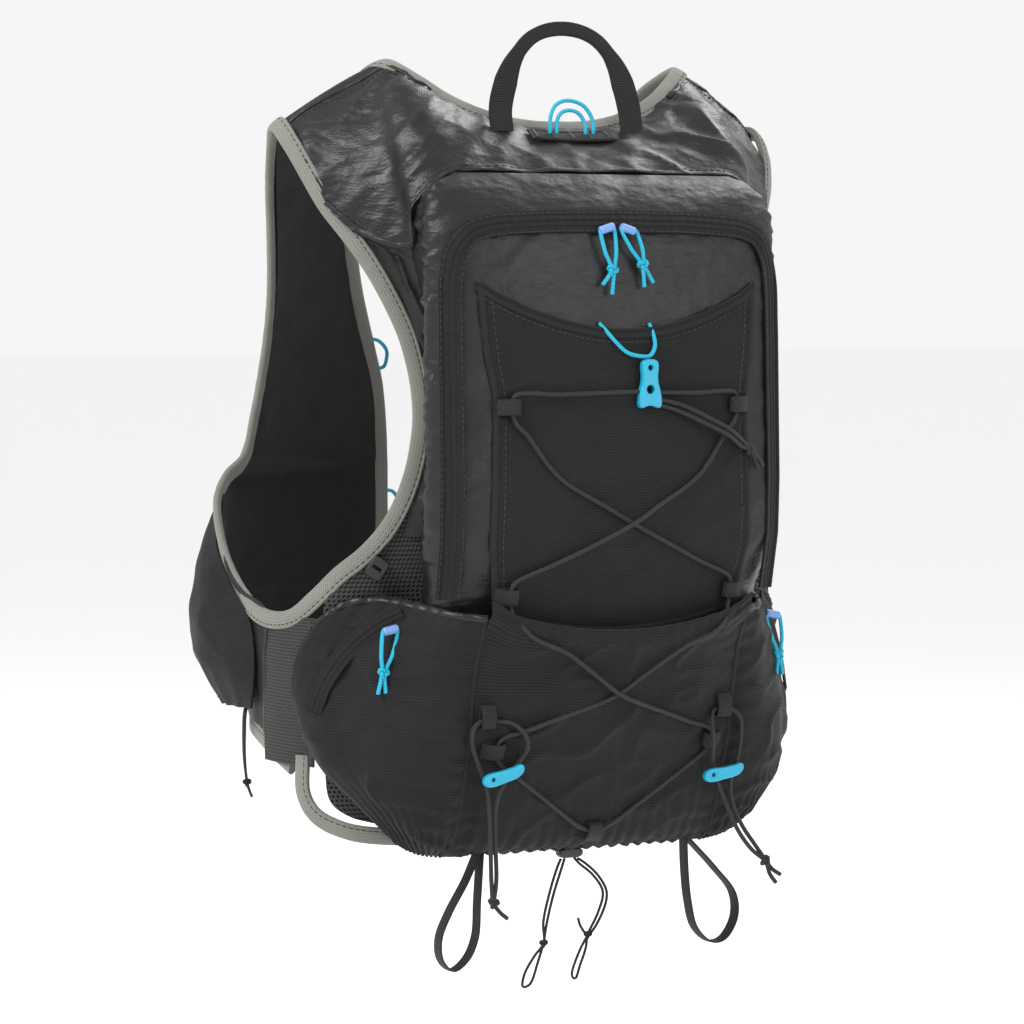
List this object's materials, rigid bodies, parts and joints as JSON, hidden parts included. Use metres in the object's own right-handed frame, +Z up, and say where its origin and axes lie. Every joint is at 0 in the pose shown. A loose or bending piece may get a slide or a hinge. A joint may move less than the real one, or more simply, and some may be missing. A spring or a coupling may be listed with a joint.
{
  "type": "running hydration vest",
  "caption": "Sleeveless running vest with a slim back pack, laced elastic cord over a stretch pocket, side pockets and bound armholes, held in its worn form.",
  "frame": {"origin": "middle of the back of the neck opening, level with the line where both shoulders carry the vest", "axes": "+Z up as worn, +Y the way the wearer faces, so the pack is on the -Y side; +X to the wearer's right"},
  "size_m": [0.346, 0.2871, 0.5512],
  "materials": {
    "binding": "soft grey knitted binding with a stitch line, matt",
    "spacer_mesh": "black three-layer spacer mesh with small holes",
    "woven_cloth": "black woven shell cloth with a slight sheen",
    "front_cloth": "smooth black bonded cloth",
    "side_mesh": "open black stretch mesh",
    "stretch_cloth": "matt black ribbed stretch cloth",
    "zip_tape": "black knitted zip tape",
    "webbing": "black herringbone webbing",
    "lace": "black braided elastic cord",
    "thin_cord": "thin black braided cord",
    "blue_cord": "bright blue braided cord",
    "blue_plastic": "bright blue moulded plastic",
    "black_plastic": "black moulded plastic"
  },
  "bodies": {
    "root": {"arm_binding_left": "binding", "arm_binding_right": "binding", "neck_binding": "binding", "hem_binding_left": "binding", "hem_binding_right": "binding", "hem_binding_back": "binding", "back_panel": "spacer_mesh", "yoke": "woven_cloth", "front_panel_left": "front_cloth", "front_panel_right": "front_cloth", "side_panel_left": "side_mesh", "side_panel_right": "side_mesh", "front_pocket_left": "front_cloth", "front_pocket_right": "front_cloth", "main_compartment": "woven_cloth", "zip_main": "zip_tape", "stash_pocket": "stretch_cloth", "lower_pocket": "stretch_cloth", "wing_left": "stretch_cloth", "wing_right": "stretch_cloth", "zip_wing_left": "zip_tape", "zip_wing_right": "zip_tape", "haul_loop": "webbing", "neck_patch": "webbing", "neck_cord_outer": "blue_cord", "neck_cord_inner": "blue_cord", "lace_loop_upper_left": "webbing", "lace_loop_upper_right": "webbing", "lace_loop_middle_left": "webbing", "lace_loop_middle_right": "webbing", "lace_loop_low_left": "webbing", "lace_loop_low_right": "webbing", "lace_loop_clip_left": "webbing", "lace_loop_clip_right": "webbing", "lace_loop_bottom": "webbing", "lace_cord": "lace", "lace_tail": "lace", "hook": "blue_plastic", "hook_cord": "blue_cord", "clip_left": "blue_plastic", "clip_right": "blue_plastic", "clip_cord_left": "lace", "clip_cord_right": "lace", "zip_pull_main_left": "blue_cord", "zip_pull_main_right": "blue_cord", "zip_pull_wing_left": "blue_cord", "zip_pull_wing_right": "blue_cord", "axe_loop_left": "webbing", "axe_loop_right": "webbing", "hem_toggle": "black_plastic", "hem_cord_left": "thin_cord", "hem_cord_right": "thin_cord", "pocket_cord_left": "thin_cord", "pocket_cord_right": "thin_cord", "strap_buckle_left": "black_plastic", "strap_buckle_right": "black_plastic", "edge_loop_upper_left": "blue_cord", "edge_loop_upper_right": "blue_cord", "edge_loop_lower_left": "blue_cord", "edge_loop_lower_right": "blue_cord"}
  },
  "joints": []
}
